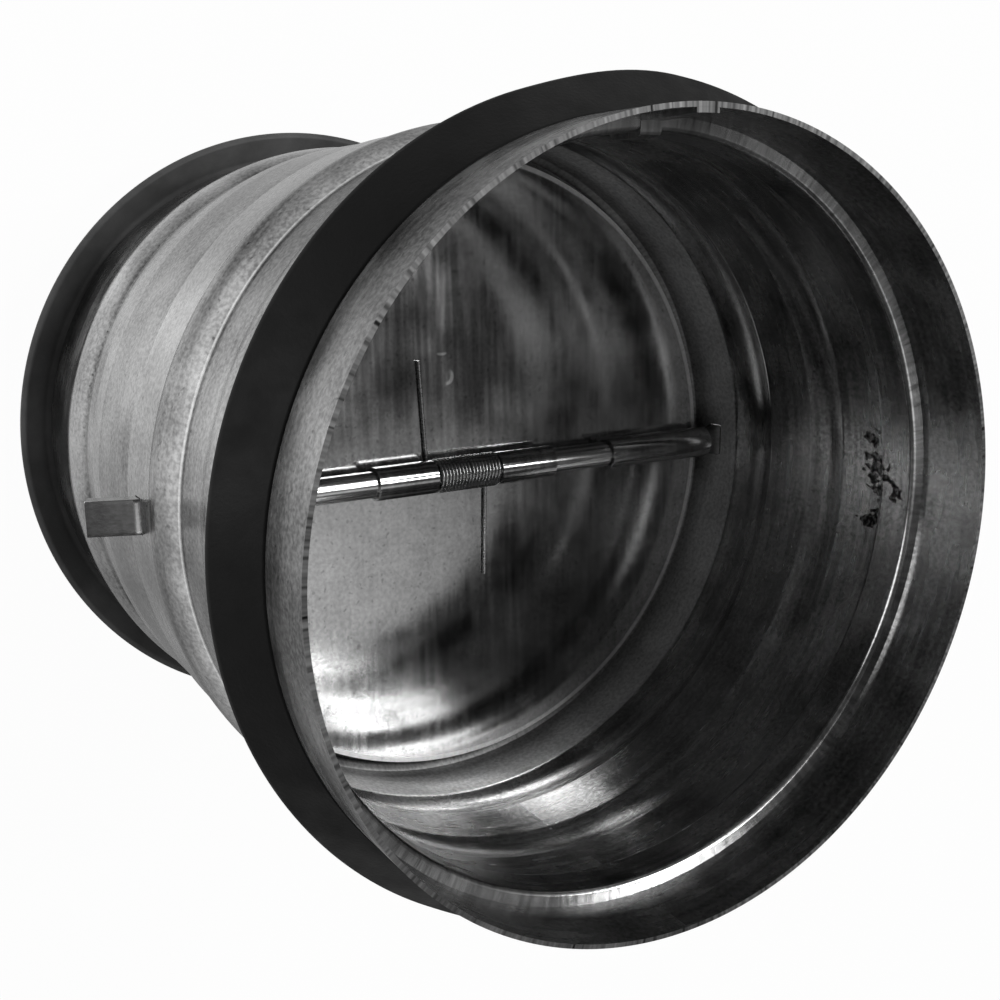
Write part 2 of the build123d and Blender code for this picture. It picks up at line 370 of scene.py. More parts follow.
def casing_outline(c):
    """The casing's outer line from outlet to inlet, as (radius, from outlet)."""
    wall = c.collar_radius + c.wall_rise
    seat = c.collar_radius - c.seat_depth
    band = wall + c.band_rise
    ledge = band - c.ledge_drop
    waist = ledge + c.waist_rise
    groove = waist - c.groove_drop
    seat_end = c.collar + c.seat_front + c.seat_floor + c.seat_back
    rib_start = seat_end + c.outlet_wall
    rib_end = rib_start + c.rib_length
    bead_start = rib_end + c.rib_wall
    band_start = bead_start + c.bead_length
    band_end = band_start + c.band_length
    waist_start = band_end + c.ledge_length
    groove_start = waist_start + c.waist_slope + c.waist_length
    groove_floor = groove_start + c.groove_slope
    inlet_bead = groove_floor + c.groove_length
    inlet_wall = inlet_bead + c.inlet_bead_length
    inlet_seat = c.length - seat_end
    line = [(c.collar_radius, 0), (c.collar_radius, c.collar), (seat, c.collar + c.seat_front),
            (seat, seat_end - c.seat_back), (wall, seat_end), (wall, rib_start)]
    line += arch(rib_start, rib_end, wall, wall, wall + c.rib_rise)
    line += [(wall, rib_end), (wall, bead_start)]
    line += arch(bead_start, band_start, wall, band, wall + c.bead_rise, 14)
    line += [(band, band_start), (band, band_end), (ledge, waist_start),
             (waist, waist_start + c.waist_slope), (waist, groove_start),
             (groove, groove_floor), (groove, inlet_bead)]
    line += arch(inlet_bead, inlet_wall, groove, wall, groove + c.inlet_bead_rise, 14)
    line += [(wall, inlet_wall), (wall, inlet_seat), (seat, inlet_seat + c.seat_back),
             (seat, c.length - c.collar - c.seat_front), (c.collar_radius, c.length - c.collar),
             (c.collar_radius, c.length)]
    return line


def casing_folds(c):
    """Places of the sharp folds on the casing's outside, from the outlet."""
    seat_end = c.collar + c.seat_front + c.seat_floor + c.seat_back
    bead = seat_end + c.outlet_wall + c.rib_length + c.rib_wall
    band_end = bead + c.bead_length + c.band_length
    groove = band_end + c.ledge_length + c.waist_slope + c.waist_length
    inlet_bead = groove + c.groove_slope + c.groove_length
    return bead, bead + c.bead_length, band_end, groove, inlet_bead + c.inlet_bead_length


def casing_skin(c, depth, start, span, steps):
    """Open sheet of the casing this deep below its outer face, from one angle round to another."""
    bm = bmesh.new()
    points = [Vector((radius - depth, 0, c.length - along)) for radius, along in casing_outline(c)]
    verts, _ = wire_line(bm, points)
    folds = [v for v in verts[1:-1] if v.calc_edge_angle(0) > radians(10)]
    round_corners(bm, folds, c.crease)
    bmesh.ops.rotate(bm, cent=(0, 0, 0), matrix=Matrix.Rotation(start, 3, "Z"), verts=bm.verts)
    full = span > 2 * pi - 1e-6
    bmesh.ops.spin(bm, geom=bm.verts[:] + bm.edges[:], cent=(0, 0, 0), axis=(0, 0, 1), angle=span,
                   steps=steps, use_merge=full)
    face_away(bm, on_axis)
    return bm


def cut_slots(bm, width, height):
    """Opens the sheet where the pin's two flattened ends pass through it."""
    for across, half in ((Vector((0, 1, 0)), width / 2), (Vector((0, 0, 1)), height / 2)):
        for side in (-half, half):
            near = [f for f in bm.faces if abs(f.calc_center_median().y) < 2 * width
                    and abs(f.calc_center_median().z - PIN.z) < 2 * width]
            geom = set(near)
            for face in near:
                geom.update(face.edges, face.verts)
            bmesh.ops.bisect_plane(bm, geom=list(geom), plane_co=PIN + across * side, plane_no=across,
                                   dist=1e-7)
    inside = [f for f in bm.faces if abs(f.calc_center_median().y) < width / 2
              and abs(f.calc_center_median().z - PIN.z) < height / 2]
    bmesh.ops.delete(bm, geom=inside, context="FACES")


def join_into(bm, other):
    """Adds another bmesh's shell to this one."""
    mesh = bpy.data.meshes.new("join")
    other.to_mesh(mesh)
    other.free()
    bm.from_mesh(mesh)
    bpy.data.meshes.remove(mesh)


# Materials

class Finish:
    """A node material with short calls for its nodes."""

    def __init__(self, name, dimensions="3D"):
        self.dimensions = dimensions
        self.material = bpy.data.materials.new(name)
        self.material.use_nodes = True
        self.nodes = self.material.node_tree.nodes
        self.links = self.material.node_tree.links
        self.shader = self.nodes["Principled BSDF"]

    def node(self, kind, **values):
        """A new node with these settings."""
        made = self.nodes.new(kind)
        for key, value in values.items():
            setattr(made, key, value)
        return made

    def link(self, source, target):
        """Joins an output to an input."""
        self.links.new(source, target)

    def coordinates(self, kind, scale=(1, 1, 1)):
        """Object or UV coordinates, scaled."""
        source = self.node("ShaderNodeTexCoord")
        mapping = self.node("ShaderNodeMapping")
        mapping.inputs["Scale"].default_value = scale
        self.link(source.outputs[kind], mapping.inputs["Vector"])
        return mapping.outputs["Vector"]

    def split(self, vector):
        """The three numbers of a vector."""
        made = self.node("ShaderNodeSeparateXYZ")
        self.link(vector, made.inputs["Vector"])
        return made.outputs

    def distance(self, vector):
        """Length of a vector."""
        made = self.node("ShaderNodeVectorMath", operation="LENGTH")
        self.link(vector, made.inputs[0])
        return made.outputs["Value"]

    def noise(self, vector, scale, detail=4):
        """Cloudy noise between 0 and 1."""
        made = self.node("ShaderNodeTexNoise", noise_dimensions=self.dimensions)
        made.inputs["Scale"].default_value = scale
        made.inputs["Detail"].default_value = detail
        made.inputs["Roughness"].default_value = 0.6
        self.link(vector, made.inputs["Vector"])
        return made.outputs["Fac"]

    def crystals(self, vector, scale):
        """One random number for each crystal of the zinc."""
        made = self.node("ShaderNodeTexVoronoi", voronoi_dimensions=self.dimensions)
        made.inputs["Scale"].default_value = scale
        self.link(vector, made.inputs["Vector"])
        return made.outputs["Color"]

    def spread(self, value, low, high, to_low, to_high, smooth=False):
        """Maps one range on to another."""
        kind = "SMOOTHSTEP" if smooth else "LINEAR"
        made = self.node("ShaderNodeMapRange", interpolation_type=kind)
        ends = {"From Min": low, "From Max": high, "To Min": to_low, "To Max": to_high}
        for socket, number in ends.items():
            made.inputs[socket].default_value = number
        self.link(value, made.inputs["Value"])
        return made.outputs["Result"]

    def math(self, kind, first, second=0):
        """One sum on numbers or outputs."""
        made = self.node("ShaderNodeMath", operation=kind)
        for socket, value in zip(made.inputs, (first, second)):
            if isinstance(value, (int, float)):
                socket.default_value = value
            else:
                self.link(value, socket)
        return made.outputs["Value"]

    def add(self, first, *others):
        """All of these added up."""
        total = first
        for other in others:
            total = self.math("ADD", total, other)
        return total

    def times(self, first, second):
        """Two numbers multiplied."""
        return self.math("MULTIPLY", first, second)

    def off(self, value, place):
        """How far a number is from a place, on either side."""
        return self.math("ABSOLUTE", self.math("SUBTRACT", value, place))

    def tone(self, colour, strength):
        """A colour made lighter or darker by a number."""
        made = self.node("ShaderNodeVectorMath", operation="SCALE")
        made.inputs[0].default_value = colour
        self.link(strength, made.inputs["Scale"])
        return made.outputs["Vector"]

    def bump(self, height, strength, distance):
        """Lets a height tilt the surface's normal."""
        made = self.node("ShaderNodeBump")
        made.inputs["Strength"].default_value = strength
        made.inputs["Distance"].default_value = distance
        self.link(height, made.inputs["Height"])
        self.link(made.outputs["Normal"], self.shader.inputs["Normal"])

    def patch(self, kind, centre, size):
        """1 in the middle of an oval spot and 0 outside it."""
        made = self.node("ShaderNodeTexGradient", gradient_type="SPHERICAL")
        source = self.node("ShaderNodeTexCoord")
        mapping = self.node("ShaderNodeMapping", vector_type="TEXTURE")
        mapping.inputs["Location"].default_value = centre
        mapping.inputs["Scale"].default_value = size
        self.link(source.outputs[kind], mapping.inputs["Vector"])
        self.link(mapping.outputs["Vector"], made.inputs["Vector"])
        return made.outputs["Fac"]


class ZincFinish(Finish):
    """Galvanised sheet: crystals, rolling lines, fine mottle, specks and a faint wave."""

    def __init__(self, name, colour, roughness, kind, grain, wave, mottled):
        super().__init__(name, "2D")
        self.colour = colour
        self.flat = self.coordinates(kind)
        along = self.coordinates(kind, scale=grain)
        spangle = self.spread(self.crystals(self.flat, 420), 0, 1, -0.08, 0.08)
        cloud = self.spread(self.noise(self.flat, 90, 2), 0.3, 0.7, -0.14, 0.14)
        lines = self.spread(self.noise(along, 900, 1), 0.3, 0.7, -0.08, 0.08)
        fine = self.spread(self.noise(self.flat, 1500, 1), 0.3, 0.7, -mottled, mottled)
        specks = self.spread(self.noise(self.flat, 1100, 1), 0.70, 0.76, 0, -0.30)
        self.mottle = self.add(spangle, cloud, lines, fine, specks)
        self.rough = self.add(self.times(cloud, 0.3), self.times(lines, 0.3), roughness)
        self.shader.inputs["Metallic"].default_value = 1
        self.bump(self.noise(self.flat, wave, 0), 0.2, 0.0006)

    def dull(self, mask, change):
        """Makes the sheet rougher where a mask is 1."""
        self.rough = self.add(self.rough, self.times(mask, change))

    def settle(self, *marks):
        """Ends the finish with its marks, each a mask and its change of tone."""
        tone = self.add(self.mottle, 1)
        for mask, change in marks:
            tone = self.add(tone, self.times(mask, change))
        shade = self.tone(self.colour, self.math("MAXIMUM", tone, 0.03))
        self.link(shade, self.shader.inputs["Base Color"])
        self.link(self.rough, self.shader.inputs["Roughness"])
        return self.material


def rolled_zinc(name, duller=0):
    """The casing's sheet, its rolling lines round the duct."""
    look = settings().finishes
    return ZincFinish(name, look.zinc, look.zinc_roughness + duller, "UV", (0.06, 1, 1), 60, 0.22)


def casing_zinc():
    """Casing's sheet outside, with painted highlights along its folds and painted light and shade on each
    band.
    """
    c = settings().casing
    f = rolled_zinc("casing_zinc")
    along = f.split(f.flat)["Y"]
    marks = [(f.spread(f.noise(f.flat, 45, 2), 0.35, 0.65, -0.22, 0.18), 1)]
    # Painted highlight: each fold is lightened along a thin line
    for fold in casing_folds(c):
        fold_highlight = f.spread(f.off(along, c.length - fold), 0.0001, 0.0004, 1, 0, smooth=True)
        marks.append((fold_highlight, 0.8))
    # Painted light and shade, one band at a time
    for start, end, change in LIGHT_AND_SHADE_BANDS:
        middle = c.length - (start + end) * MM / 2
        half = (end - start) * MM / 2
        marks.append((f.spread(f.off(along, middle), half - 0.0003, half + 0.0003, 1, 0), change))
    return f.settle(*marks)


def bore_zinc():
    """Casing's sheet inside, with a dull wall round the blades lightened by painted light, and the dirt on
    the outlet's wall.
    """
    c = settings().casing
    f = rolled_zinc("bore_zinc")
    along = f.split(f.flat)["Y"]
    front, back = (c.length - edge * MM + INSIDE for edge in BLADE_WALL)
    reach = (front - back) / 2
    wall = f.spread(f.off(along, (front + back) / 2), reach - 0.0004, reach, 1, 0)
    f.dull(wall, 0.35)
    spots = 0
    for from_outlet, angle, size in SMUDGES:
        centre = (radians(90 - angle) * c.collar_radius, c.length - from_outlet * MM + INSIDE, 0)
        spots = f.math("MAXIMUM", f.patch("UV", centre, (size * MM, size * MM * 1.5, 1)), spots)
    torn = f.add(spots, f.spread(f.noise(f.flat, 700, 1), 0.3, 0.7, -0.5, 0.3))
    dirt = f.spread(torn, 0.3, 0.42, 0, 1)
    stain = f.spread(f.noise(f.flat, 45, 2), 0.35, 0.65, -0.1, 0.1)
    # The wall round the blades is lightened with painted light
    return f.settle((stain, 1), (wall, 0.6), (dirt, -0.75))


def rim_zinc():
    """Cut edge of the casing's sheet."""
    f = rolled_zinc("rim_zinc", duller=0.35)
    return f.settle((f.spread(f.noise(f.flat, 200, 2), 0.3, 0.7, 0.8, 1), -0.6))


def blade_zinc():
    """Blades' sheet, with the scratches above the spring's upper leg and a painted highlight along the cut
    edge.
    """
    look = settings().finishes
    f = ZincFinish("blade_zinc", look.blade_zinc, look.blade_roughness, "Object", (1, 0.06, 1), 40, 0.10)
    marks = []
    for x, y, radius, side_x, side_y, reach in SCRATCHES:
        spot = f.patch("Object", (x * MM, y * MM, PIN.z), (radius * MM,) * 3)
        line = f.spread(f.off(spot, 0.12), 0.015, 0.04, 1, 0)
        part = f.patch("Object", (side_x * MM, side_y * MM, PIN.z), (reach * MM, reach * MM, 0.02))
        marks.append((f.times(line, f.spread(part, 0.1, 0.4, 0, 1)), 2.5))
    # Painted highlight: a thin ring along the blade's cut edge is lightened and made duller
    from_axis = f.distance(f.coordinates("Object", scale=(1, 1, 0)))
    edge = f.spread(from_axis, BLADE_HIGH.x - 0.0009, BLADE_HIGH.x - 0.0006, 0, 1)
    f.dull(edge, 0.4)
    marks.append((edge, 1.2))
    return f.settle(*marks)


def shaded_strap_zinc():
    """Stop strap's sheet, its dark colour painted shade for the shadow behind the blades."""
    look = settings().finishes
    f = ZincFinish("shaded_strap_zinc", look.strap, look.zinc_roughness, "Object", (0.06, 1, 1), 60, 0.2)
    return f.settle()


def drawn_steel(name, colour, roughness):
    """Drawn rod or wire with fine lines along it, darkened with painted shade where it meets the casing."""
    f = Finish(name)
    along = f.coordinates("Object", scale=(0.05, 1, 1))
    flat = f.coordinates("Object")
    lines = f.spread(f.noise(along, 2500, 3), 0.3, 0.7, -0.12, 0.12)
    stain = f.spread(f.noise(flat, 260, 4), 0.35, 0.7, -0.15, 0.1)
    from_middle = f.math("ABSOLUTE", f.split(flat)["X"])
    # Painted shade: the pin darkens where it passes through the casing's slots
    painted_slot_shade = f.spread(f.off(from_middle, 0.047), 0.0015, 0.0035, 0.3, 1)
    f.link(f.tone(colour, f.times(f.add(lines, stain, 1), painted_slot_shade)), f.shader.inputs["Base Color"])
    f.link(f.add(f.times(lines, 0.4), roughness), f.shader.inputs["Roughness"])
    f.shader.inputs["Metallic"].default_value = 1
    f.bump(lines, 0.15, 0.00005)
    return f.material


def seal_rubber():
    """Black rubber, dusty, and paler at the inlet's end."""
    look = settings().finishes
    f = Finish("seal_rubber")
    flat = f.coordinates("Object")
    dust = f.spread(f.noise(flat, 70, 5), 0.4, 0.75, 0.8, 1.5)
    grain = f.noise(flat, 2200, 3)
    # Paler towards the inlet's end and darker towards the outlet's end
    paler_toward_inlet = f.spread(f.split(flat)["Z"], SEAL_HIGH.z, CASING_HIGH.z - SEAL_HIGH.z, 5, 0.2)
    f.link(f.tone(look.rubber, f.times(dust, paler_toward_inlet)), f.shader.inputs["Base Color"])
    f.link(f.spread(f.noise(flat, 150, 3), 0.3, 0.7, 0.5, 0.68), f.shader.inputs["Roughness"])
    f.shader.inputs["Specular IOR Level"].default_value = 0.2
    f.bump(grain, 0.25, 0.00015)
    return f.material


# Operators

class DAMPER_OT_casing(bpy.types.Operator):
    """Rolls the casing's sheet round the duct, with its beads, lap and slots"""
    bl_idname = "damper.casing"
    bl_label = "Casing"

    def execute(self, context):
        c = settings().casing
        bm = casing_skin(c, 0, 0, 2 * pi, c.steps)
        cut_slots(bm, c.slot_width, c.slot_height)
        thicken(bm, c.sheet)
        half_lap = c.lap_width / c.collar_radius / 2
        lap = casing_skin(c, c.sheet * 0.98, pi / 2 - half_lap, 2 * half_lap, 6)
        thicken(lap, c.sheet)
        join_into(bm, lap)
        wrap_uv(bm, c.collar_radius)
        sides = casing_zinc(), bore_zinc(), rim_zinc()
        finish_piece(bm, "casing_sheet", sides, HOUSING, ["casing"], sharp=35)
        return {"FINISHED"}


def seal_ring(s, c):
    """Ring of rubber on the inlet's seat with its lip flaring away from the rim."""
    inner = c.collar_radius - c.seat_depth + s.fit
    front = c.collar + c.seat_front + s.fit
    back = c.collar + c.seat_front + c.seat_floor - s.fit
    tip_radius = c.collar_radius + s.lip_height
    tip = front + s.lip_reach
    section = [(inner, front), (c.collar_radius, front),
               (tip_radius, tip - s.lip_thickness / 2), (tip_radius, tip),
               (tip_radius - s.lip_thickness / 2, tip + s.lip_thickness / 3),
               (c.collar_radius + s.lip_thickness / 2, back), (inner, back)]
    bm = bmesh.new()
    verts, _ = wire_line(bm, [Vector((r, 0, z)) for r, z in section], closed=True)
    round_corners(bm, verts[1:6], s.edge)
    bmesh.ops.spin(bm, geom=bm.verts[:] + bm.edges[:], cent=(0, 0, 0), axis=(0, 0, 1), angle=2 * pi,
                   steps=s.steps, use_merge=True)
    bmesh.ops.recalc_face_normals(bm, faces=bm.faces)
    return bm


def press_lip(bm, s, c):
    """Presses the lip in along one side and lets it bulge just before that side."""
    ramp = s.squeeze_ramp
    for v in bm.verts:
        radius = v.co.xy.length
        lift = min(max((radius - c.collar_radius) / s.lip_height, 0), 1)
        angle = atan2(v.co.y, v.co.x) % (2 * pi)
        inside = min(max(min(angle - s.squeeze_from, s.squeeze_to - angle) / ramp, 0), 1)
        before = max(1 - abs(angle - s.squeeze_from + ramp) / ramp, 0)
        push = s.squeeze * lift * (before * s.bulge - inside * inside * (3 - 2 * inside))
        v.co.xy *= 1 + push / radius


class DAMPER_OT_seals(bpy.types.Operator):
    """Seats a rubber lip seal at each end of the casing"""
    bl_idname = "damper.seals"
    bl_label = "Lip seals"

    def execute(self, context):
        c = settings().casing
        rubber = seal_rubber()
        inlet = seal_ring(settings().seal, c)
        finish_piece(inlet, "inlet_lip_seal", [rubber], HOUSING, ["inlet_seal"], sharp=60)
        outlet = seal_ring(settings().seal, c)
        bmesh.ops.rotate(outlet, cent=(0, 0, c.length / 2), matrix=Matrix.Rotation(pi, 3, "X"),
                         verts=outlet.verts)
        press_lip(outlet, settings().seal, c)
        finish_piece(outlet, "outlet_lip_seal", [rubber], HOUSING, ["outlet_seal"], sharp=60)
        return {"FINISHED"}


def spade_end(bm, h):
    """Extrudes the rod's end ring out to the flattened, bent end on the +X side."""
    ring = [v for v in bm.verts if v.co.x > h.round_end - MM / 100]
    edges = [e for e in bm.edges if e.verts[0] in ring and e.verts[1] in ring]
    half_width = h.spade_width / 2
    half_height = h.spade_thickness / 2

    def carry(edges):
        made = bmesh.ops.extrude_edge_only(bm, edges=edges)["geom"]
        verts = verts_of(made)
        return verts, [e for e in edges_of(made) if all(v in verts for v in e.verts)]

    verts, edges = carry(edges)
    for v in verts:
        y = v.co.y / h.pin_radius
        z = (v.co.z - PIN.z) / h.pin_radius
        grow = 1 / max(abs(y), abs(z))
        v.co = (h.flat_start, y * grow * half_width, PIN.z + z * grow * half_height)
    elbow = h.wall_radius - h.elbow_inset
    verts, edges = carry(edges)
    bmesh.ops.translate(bm, verts=verts, vec=(elbow - h.flat_start, 0, 0))
    hub = Vector((elbow, 0, PIN.z - 2 * half_height))
    bend = Matrix.Rotation(h.spade_bend / BEND_STEPS, 3, "Y")
    for _ in range(BEND_STEPS):
        verts, edges = carry(edges)
        bmesh.ops.rotate(bm, cent=hub, matrix=bend, verts=verts)
    verts, edges = carry(edges)
    tip = PIN_HIGH.x - max(v.co.x for v in verts)
    bmesh.ops.translate(bm, verts=verts, vec=(tip, 0, -tip * sin(h.spade_bend) / cos(h.spade_bend)))
    bmesh.ops.contextual_create(bm, geom=edges)


class DAMPER_OT_hinge_pin(bpy.types.Operator):
    """Draws the hinge pin and flattens its two ends"""
    bl_idname = "damper.hinge_pin"
    bl_label = "Hinge pin"

    def execute(self, context):
        h = settings().hinge
        bm = bmesh.new()
        lying = Matrix.Rotation(pi / 2, 4, "Y") @ Matrix.Rotation(pi / 4, 4, "Z")
        across = Matrix.Translation(PIN) @ lying
        bmesh.ops.create_circle(bm, radius=h.pin_radius, segments=48, matrix=across)
        made = bmesh.ops.extrude_edge_only(bm, edges=bm.edges[:])["geom"]
        bmesh.ops.translate(bm, verts=verts_of(made), vec=(h.round_end, 0, 0))
        spade_end(bm, h)
        mirror_over(bm)
        soften_edges(bm, h.pin_edge)
        look = settings().finishes
        steel = drawn_steel("pin_steel", look.steel, look.steel_roughness)
        finish_piece(bm, "hinge_pin_rod", [steel], HOUSING, ["hinge_pin"], sharp=35)
        return {"FINISHED"}


def knuckle_strip(bm, h, start, finish):
    """Sheet rolled round the pin, run on to the blade's plane, as an open strip."""
    bore = h.pin_radius + h.clearance
    opening = radians(-90) + h.roll_opening
    first = [bm.verts.new((x, cos(opening) * bore, sin(opening) * bore)) for x in (start, finish)]
    edge = bm.edges.new(first)
    made = bmesh.ops.spin(bm, geom=first + [edge], cent=(0, 0, 0), axis=(1, 0, 0),
                          angle=2 * pi - h.roll_opening, steps=40)["geom_last"]
    step = bmesh.ops.extrude_edge_only(bm, edges=edges_of(made))["geom"]
    for v in verts_of(step):
        v.co = (v.co.x, h.joggle, -h.blade_face)


def blade_sheet(h):
    """A blade with its front face at the pin's back, closed, pointing to +Y."""
    radius = BLADE_HIGH.x
    knuckles = [(-h.inner_start - h.inner_length, -h.inner_start),
                (h.outer_start, h.outer_start + h.outer_length)]
    bm = bmesh.new()
    flat = Matrix.Translation((0, 0, -h.blade_face))
    bmesh.ops.create_circle(bm, cap_ends=True, radius=radius, segments=256, matrix=flat)

    def cut(point, normal, drop=False):
        bmesh.ops.bisect_plane(bm, geom=bm.verts[:] + bm.edges[:] + bm.faces[:], plane_co=point,
                               plane_no=normal, dist=1e-7, clear_inner=drop)

    cut((0, h.edge_gap / 2, 0), (0, 1, 0), drop=True)
    cut((0, h.joggle, 0), (0, 1, 0))
    for ends in knuckles:
        for x in ends:
            cut((x, 0, 0), (1, 0, 0))
    notch = [f for f in bm.faces if f.calc_center_median().y < h.joggle
             and any(start < f.calc_center_median().x < finish for start, finish in knuckles)]
    bmesh.ops.delete(bm, geom=notch, context="FACES")
    for start, finish in knuckles:
        knuckle_strip(bm, h, start, finish)
    bmesh.ops.remove_doubles(bm, verts=bm.verts, dist=MM / 1000)
    bmesh.ops.recalc_face_normals(bm, faces=bm.faces)
    plate = max(bm.faces, key=lambda f: f.calc_area())
    if plate.normal.z > 0:
        bmesh.ops.reverse_faces(bm, faces=bm.faces)
    thicken(bm, -h.sheet)
    soften_edges(bm, h.blade_edge)
    return bm


class DAMPER_OT_blades(bpy.types.Operator):
    """Cuts the two blades and rolls their knuckles round the pin"""
    bl_idname = "damper.blades"
    bl_label = "Blades"

    def execute(self, context):
        zinc = blade_zinc()
        for turned, (node, body) in zip((0, pi), LEAVES.items()):
            bm = blade_sheet(settings().hinge)
            bmesh.ops.rotate(bm, cent=(0, 0, 0), matrix=Matrix.Rotation(turned, 3, "Z"), verts=bm.verts)
            bmesh.ops.translate(bm, verts=bm.verts, vec=PIN)
            finish_piece(bm, node + "_sheet", [zinc], body, [node], sharp=35)
        return {"FINISHED"}


def half_spring(s, side, lean):
    """Half of the coil from its middle out to one end (side -1 or 1) and that end's leg."""
    bm = bmesh.new()
    lead = s.pitch / STEPS_PER_TURN * side
    upright = Matrix.Translation((0, 0, -s.coil_radius)) @ Matrix.Rotation(pi / 2, 4, "X")
    ring = bmesh.ops.create_circle(bm, radius=s.wire / 2, segments=WIRE_SIDES, matrix=upright)["verts"]
    made = bmesh.ops.spin(bm, geom=ring + bm.edges[:], cent=(0, 0, 0), axis=(side, 0, 0),
                          dvec=(lead, 0, 0), angle=-2 * pi * s.half_turns * side,
                          steps=STEPS_PER_TURN * s.half_turns)["geom_last"]
    leg = bmesh.ops.extrude_edge_only(bm, edges=edges_of(made))["geom"]
    along = (s.leg * sin(lean), -side * s.leg * cos(lean), 0)
    bmesh.ops.translate(bm, verts=verts_of(leg), vec=along)
    bmesh.ops.holes_fill(bm, edges=bm.edges, sides=WIRE_SIDES + 2)
    bmesh.ops.recalc_face_normals(bm, faces=bm.faces)
    bmesh.ops.translate(bm, verts=bm.verts, vec=PIN)
    return bm


class DAMPER_OT_spring(bpy.types.Operator):
    """Winds the torsion spring in two halves, each with its leg on its own blade"""
    bl_idname = "damper.spring"
    bl_label = "Torsion spring"

    def execute(self, context):
        s = settings().spring
        look = settings().finishes
        wire = drawn_steel("spring_wire", look.wire, look.wire_roughness)
        halves = (("upper", -1, s.upper_lean, "upper_leaf"), ("lower", 1, s.lower_lean, "lower_leaf"))
        for name, side, lean, body in halves:
            bm = half_spring(s, side, lean)
            piece = finish_piece(bm, name + "_spring_half", [wire], None, ["torsion_spring"],
                                 sharp=60)
            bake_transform(piece)
        return {"FINISHED"}


class DAMPER_OT_strap(bpy.types.Operator):
    """Bends the stop strap that the blades rest on"""
    bl_idname = "damper.strap"
    bl_label = "Stop strap"

    def execute(self, context):
        s = settings().strap
        bm = bmesh.new()
        width = STRAP_HIGH.y - STRAP_LOW.y
        outer_bend = s.bend + s.thickness
        straight = s.foot_radius - outer_bend
        middle = [Vector((0, STRAP_LOW.y + width * i / 8, STRAP_HIGH.z)) for i in range(9)]
        _, edges = wire_line(bm, middle)
        made = bmesh.ops.extrude_edge_only(bm, edges=edges)["geom"]
        end = verts_of(made)
        bmesh.ops.translate(bm, verts=end, vec=(straight, 0, 0))
        last = [e for e in bm.edges if e.verts[0] in end and e.verts[1] in end]
        made = bmesh.ops.spin(bm, geom=end + last, cent=(straight, 0, STRAP_HIGH.z - outer_bend),
                              axis=(0, 1, 0), angle=pi / 2, steps=8)["geom_last"]
        made = bmesh.ops.extrude_edge_only(bm, edges=edges_of(made))["geom"]
        for v in verts_of(made):
            v.co.z = STRAP_LOW.z
        for v in bm.verts:
            if v.co.x > MM:
                v.co.x -= s.foot_radius - sqrt(s.foot_radius ** 2 - v.co.y ** 2)
        mirror_over(bm)
        bar = max(bm.faces, key=lambda f: f.calc_area())
        if bar.normal.z < 0:
            bmesh.ops.reverse_faces(bm, faces=bm.faces)
        thicken(bm, s.thickness)
        soften_edges(bm, s.edge)
        finish_piece(bm, "stop_strap_sheet", [shaded_strap_zinc()], HOUSING, ["stop_strap"],
                     sharp=35)
        return {"FINISHED"}


def soft_box(name, at, size, brightness, aim):
    """A flat studio lamp that faces a point, its first side level with the pin."""
    lamp = bpy.data.lights.new(name, "AREA")
    lamp.shape = "RECTANGLE"
    lamp.size, lamp.size_y = size
    lamp.energy = brightness * pi * size[0] * size[1]
    holder = bpy.data.objects.new(name, lamp)
    holder.location = at
    back = (Vector(at) - Vector(aim)).normalized()
    side = Vector((0, 1, 0)).cross(back).normalized()
    holder.rotation_euler = Matrix((side, back.cross(side), back)).transposed().to_euler()
    bpy.context.scene.collection.objects.link(holder)


def floor_mirrored(f, flat):
    """Brightness of the floor in a gloss: painted shadow under and beside the duct, pale round it, a
    painted pool of light, never above white.
    """
    from_axis = f.distance(flat)
    across = f.split(flat)["Y"]
    # Painted shadow under the duct and beside it, fading away from it
    outside = f.spread(from_axis, 0.045, 0.056, 0.03, 1)
    rising = f.spread(across, -0.04, 0.03, 0.28, 0.8)
    falling = f.spread(across, 0.045, 0.09, 1, 0.4)
    near = f.times(outside, f.times(rising, falling))
    away = f.spread(from_axis, 0.08, 0.40, 0, 0.6, smooth=True)
    painted_light_pool = f.times(f.patch("Object", (-0.38, 0.17, 0), (0.30, 0.16, 1)), 1.6)
    return f.math("MINIMUM", f.add(near, away, painted_light_pool), 1)


def floor_paper():
    """White paper: white to the eye, with painted shadow and light where a gloss shows it, and the object's
    faint shadow.
    """
    f = Finish("floor_paper")
    flat = f.coordinates("Object")
    fibre = f.spread(f.noise(flat, 40), 0.3, 0.7, 0.99, 1.0)
    f.link(f.tone((0.9, 0.9, 0.9), fibre), f.shader.inputs["Base Color"])
    f.shader.inputs["Roughness"].default_value = 0.9
    path = f.node("ShaderNodeLightPath").outputs
    level = f.node("ShaderNodeMix")
    level.inputs["B"].default_value = 1
    f.link(path["Is Camera Ray"], level.inputs["Factor"])
    f.link(floor_mirrored(f, flat), level.inputs["A"])
    glow = f.node("ShaderNodeEmission")
    f.link(level.outputs["Result"], glow.inputs["Strength"])
    mirrored = f.math("MAXIMUM", path["Is Glossy Ray"], path["Is Transmission Ray"])
    seen = f.math("MAXIMUM", path["Is Camera Ray"], mirrored)
    mix = f.node("ShaderNodeMixShader")
    f.link(f.times(seen, 0.97), mix.inputs["Fac"])
    f.link(f.shader.outputs["BSDF"], mix.inputs[1])
    f.link(glow.outputs["Emission"], mix.inputs[2])
    f.link(mix.outputs["Shader"], f.nodes["Material Output"].inputs["Surface"])
    f.material.cycles.emission_sampling = "NONE"
    return f.material


def card_glow():
    """Pale card whose glow fades to the right and to the top."""
    f = Finish("card_glow")
    glow = f.node("ShaderNodeEmission")
    place_on = f.split(f.coordinates("Object"))
    across = f.spread(place_on["X"], 0.20, 0.68, 1.3, 0.02)
    down = f.spread(place_on["Y"], -0.15, -0.27, 0.4, 1)
    f.link(f.times(across, down), glow.inputs["Strength"])
    f.link(glow.outputs["Emission"], f.nodes["Material Output"].inputs["Surface"])
    return f.material


